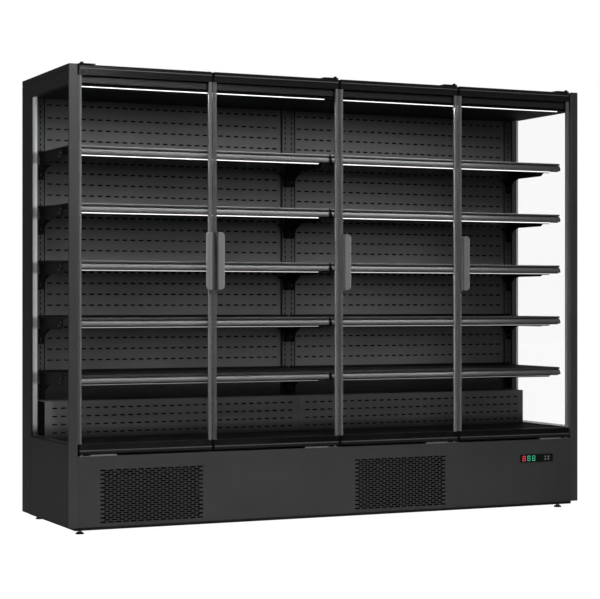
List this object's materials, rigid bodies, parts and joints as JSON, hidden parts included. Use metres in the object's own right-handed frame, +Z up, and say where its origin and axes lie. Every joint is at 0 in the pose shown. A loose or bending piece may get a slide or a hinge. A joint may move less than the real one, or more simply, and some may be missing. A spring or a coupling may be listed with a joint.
{
  "type": "multideck display fridge",
  "caption": "Black multideck display fridge with two shelf bays behind hinged glass doors, vented base panel, front controller, lit shelves and condensing units in the base.",
  "frame": {"origin": "centre of the overall footprint, handles included, at floor level", "axes": "X along the cabinet's width, -Y out of the doors, Z up"},
  "size_m": [2.58, 0.733, 2.032],
  "materials": {
    "black_powder_coat": "satin",
    "black_panel": "satin",
    "black_rail": "gloss",
    "clear_glass": "gloss",
    "grey_profile": "satin",
    "smoked_grip": "satin",
    "grey_price_rail": "satin",
    "lamp": "matte",
    "grey_duct": "satin",
    "zinc": "satin",
    "steel_pin": "gloss",
    "rubber": "matte",
    "coil": "satin",
    "copper": "satin",
    "compressor_shell": "satin",
    "fan_black": "satin",
    "display_window": "gloss",
    "key_white": "satin"
  },
  "bodies": {
    "cabinet": {"chassis": "zinc", "levelling_feet": "rubber", "base_front_panel": "black_powder_coat", "end_wall_left": "black_panel", "end_wall_right": "black_panel", "side_glass": "clear_glass", "side_glazing_profiles": "grey_profile", "rear_wall": "black_panel", "insulated_floor": "black_panel", "front_sill": "black_panel", "roof_panel": "black_panel", "canopy_panels": "black_powder_coat", "air_honeycombs": "fan_black", "canopy_lights": "lamp", "shelf_uprights": "grey_duct", "back_panels": "grey_duct", "shelves_left": "black_powder_coat", "shelves_right": "black_powder_coat", "price_rails": "grey_price_rail", "shelf_lights": "lamp", "shelf_brackets": "black_powder_coat", "deck_trays": "black_powder_coat", "return_air_grilles": "black_powder_coat", "lower_back_covers": "black_powder_coat", "condensers": "coil", "fan_plates": "zinc", "compressors": "compressor_shell", "refrigerant_pipes": "copper", "evaporators": "coil", "condensate_tray": "black_panel", "electrical_box": "black_panel", "controller_bezel": "fan_black", "controller_display": "display_window", "hinge_brackets": "zinc"},
    "door_1": {"door_1_rails": "black_rail", "door_1_glass": "clear_glass", "door_1_seals": "grey_profile", "door_1_handle": "smoked_grip"},
    "door_2": {"door_2_rails": "black_rail", "door_2_glass": "clear_glass", "door_2_seals": "grey_profile", "door_2_handle": "smoked_grip"},
    "door_3": {"door_3_rails": "black_rail", "door_3_glass": "clear_glass", "door_3_seals": "grey_profile", "door_3_handle": "smoked_grip"},
    "door_4": {"door_4_rails": "black_rail", "door_4_glass": "clear_glass", "door_4_seals": "grey_profile", "door_4_handle": "smoked_grip"},
    "key_1": {"controller_key_1": "key_white"},
    "key_2": {"controller_key_2": "key_white"},
    "key_3": {"controller_key_3": "key_white"},
    "key_4": {"controller_key_4": "key_white"},
    "condenser_fan_1": {"condenser_fan_1": "fan_black"},
    "condenser_fan_2": {"condenser_fan_2": "fan_black"},
    "evaporator_fan_1": {"evaporator_fan_1": "fan_black"},
    "evaporator_fan_2": {"evaporator_fan_2": "fan_black"},
    "evaporator_fan_3": {"evaporator_fan_3": "fan_black"},
    "evaporator_fan_4": {"evaporator_fan_4": "fan_black"}
  },
  "joints": [
    {"name": "door_1_hinge", "type": "hinge", "parent": "cabinet", "child": "door_1", "pos_m": [-1.23, -0.331, 1], "axis": [0, 0, -1], "range_deg": [0, 90], "stiffness_Nm_per_rad": 3, "springref_deg": -20.05},
    {"name": "door_2_hinge", "type": "hinge", "parent": "cabinet", "child": "door_2", "pos_m": [-0.02, -0.331, 1], "axis": [0, 0, 1], "range_deg": [0, 90], "stiffness_Nm_per_rad": 3, "springref_deg": -20.05},
    {"name": "door_3_hinge", "type": "hinge", "parent": "cabinet", "child": "door_3", "pos_m": [0.605, -0.331, 1], "axis": [0, 0, 1], "range_deg": [0, 90], "stiffness_Nm_per_rad": 3, "springref_deg": -20.05},
    {"name": "door_4_hinge", "type": "hinge", "parent": "cabinet", "child": "door_4", "pos_m": [1.23, -0.331, 1], "axis": [0, 0, 1], "range_deg": [0, 90], "stiffness_Nm_per_rad": 3, "springref_deg": -20.05},
    {"name": "key_1_press", "type": "slide", "parent": "cabinet", "child": "key_1", "axis": [0, 1, 0], "range_m": [0, 0.001], "stiffness_N_per_m": 400},
    {"name": "key_2_press", "type": "slide", "parent": "cabinet", "child": "key_2", "axis": [0, 1, 0], "range_m": [0, 0.001], "stiffness_N_per_m": 400},
    {"name": "key_3_press", "type": "slide", "parent": "cabinet", "child": "key_3", "axis": [0, 1, 0], "range_m": [0, 0.001], "stiffness_N_per_m": 400},
    {"name": "key_4_press", "type": "slide", "parent": "cabinet", "child": "key_4", "axis": [0, 1, 0], "range_m": [0, 0.001], "stiffness_N_per_m": 400},
    {"name": "condenser_fan_1_spin", "type": "hinge", "parent": "cabinet", "child": "condenser_fan_1", "pos_m": [-0.91, -0.2425, 0.1445], "axis": [0, 1, 0], "continuous": true},
    {"name": "condenser_fan_2_spin", "type": "hinge", "parent": "cabinet", "child": "condenser_fan_2", "pos_m": [0.316, -0.2425, 0.1445], "axis": [0, 1, 0], "continuous": true},
    {"name": "evaporator_fan_1_spin", "type": "hinge", "parent": "cabinet", "child": "evaporator_fan_1", "pos_m": [-0.88, 0.2335, 0.406], "axis": [0, 0, 1], "continuous": true},
    {"name": "evaporator_fan_2_spin", "type": "hinge", "parent": "cabinet", "child": "evaporator_fan_2", "pos_m": [-0.38, 0.2335, 0.406], "axis": [0, 0, 1], "continuous": true},
    {"name": "evaporator_fan_3_spin", "type": "hinge", "parent": "cabinet", "child": "evaporator_fan_3", "pos_m": [0.38, 0.2335, 0.406], "axis": [0, 0, 1], "continuous": true},
    {"name": "evaporator_fan_4_spin", "type": "hinge", "parent": "cabinet", "child": "evaporator_fan_4", "pos_m": [0.88, 0.2335, 0.406], "axis": [0, 0, 1], "continuous": true}
  ]
}
